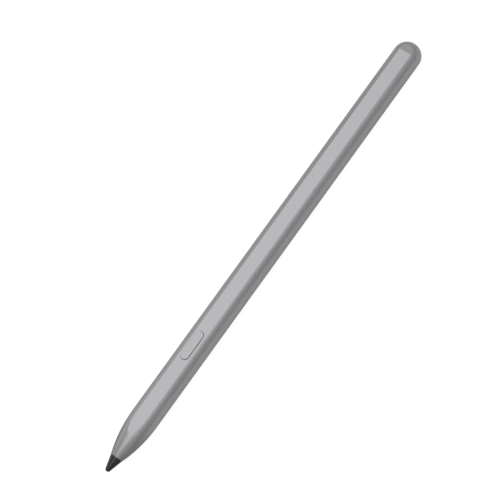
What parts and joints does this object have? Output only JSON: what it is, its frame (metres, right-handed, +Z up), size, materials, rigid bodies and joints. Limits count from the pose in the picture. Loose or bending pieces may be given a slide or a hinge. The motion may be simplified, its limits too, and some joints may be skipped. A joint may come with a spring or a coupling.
{
  "type": "stylus pen",
  "caption": "Slim round stylus pen with a lengthwise docking flat, a curved nose, a replaceable pressure-sensing nib, a low side button and a domed end cap.",
  "frame": {"origin": "middle of the pen's length, on the surface that its round back lies on", "axes": "+X along the pen from the nib to the end cap, +Z up out of the docking flat"},
  "size_m": [0.1436, 0.008, 0.0079],
  "materials": {
    "barrel_plastic": "satin",
    "nib_plastic": "satin",
    "ferrite": "matte",
    "copper": "satin",
    "cushion_rubber": "matte",
    "conductive_rubber": "matte",
    "sensor_plastic": "matte",
    "spring_steel": "satin",
    "dielectric_ceramic": "satin",
    "carrier_plastic": "matte",
    "board_laminate": "satin",
    "capacitor_ceramic": "satin",
    "magnet_plating": "polished"
  },
  "bodies": {
    "barrel": {"barrel": "barrel_plastic", "end_cap": "barrel_plastic", "nose_cushion": "cushion_rubber", "ferrite_core": "ferrite", "coil_winding": "copper", "coil_leads": "copper", "ferrite_cushion": "cushion_rubber", "sensor_housing": "sensor_plastic", "ring_terminal": "spring_steel", "dielectric_disc": "dielectric_ceramic", "disc_terminal": "spring_steel", "sensor_plug": "sensor_plastic", "board_carrier": "carrier_plastic", "circuit_board": "board_laminate", "chip_capacitors": "capacitor_ceramic", "switch_base": "sensor_plastic", "switch_dome": "spring_steel", "switch_cover": "spring_steel", "magnet_carrier": "carrier_plastic", "front_magnet": "magnet_plating", "rear_magnet": "magnet_plating", "end_cushion": "cushion_rubber"},
    "holder": {"nib_holder": "sensor_plastic", "pressure_pad": "conductive_rubber"},
    "nib": {"nib": "nib_plastic"},
    "button": {"side_button": "barrel_plastic"},
    "plunger": {"switch_plunger": "sensor_plastic"}
  },
  "joints": [
    {"name": "nib_press", "type": "slide", "parent": "barrel", "child": "holder", "axis": [1, 0, 0], "range_m": [0, 0.0003], "stiffness_N_per_m": 6000, "deforming": ["pressure_pad"]},
    {"name": "nib_pull", "type": "slide", "parent": "holder", "child": "nib", "axis": [-1, 0, 0], "range_m": [0, 0.0195]},
    {"name": "button_press", "type": "slide", "parent": "barrel", "child": "button", "axis": [0, 0, -1], "range_m": [0, 0.00025], "stiffness_N_per_m": 6000},
    {"name": "plunger_press", "type": "slide", "parent": "barrel", "child": "plunger", "axis": [0, 0, -1], "range_m": [0, 0.00025], "deforming": ["switch_dome"]}
  ],
  "couplings": [
    {"joint": "plunger_press", "follows": "button_press", "ratio": 1}
  ]
}
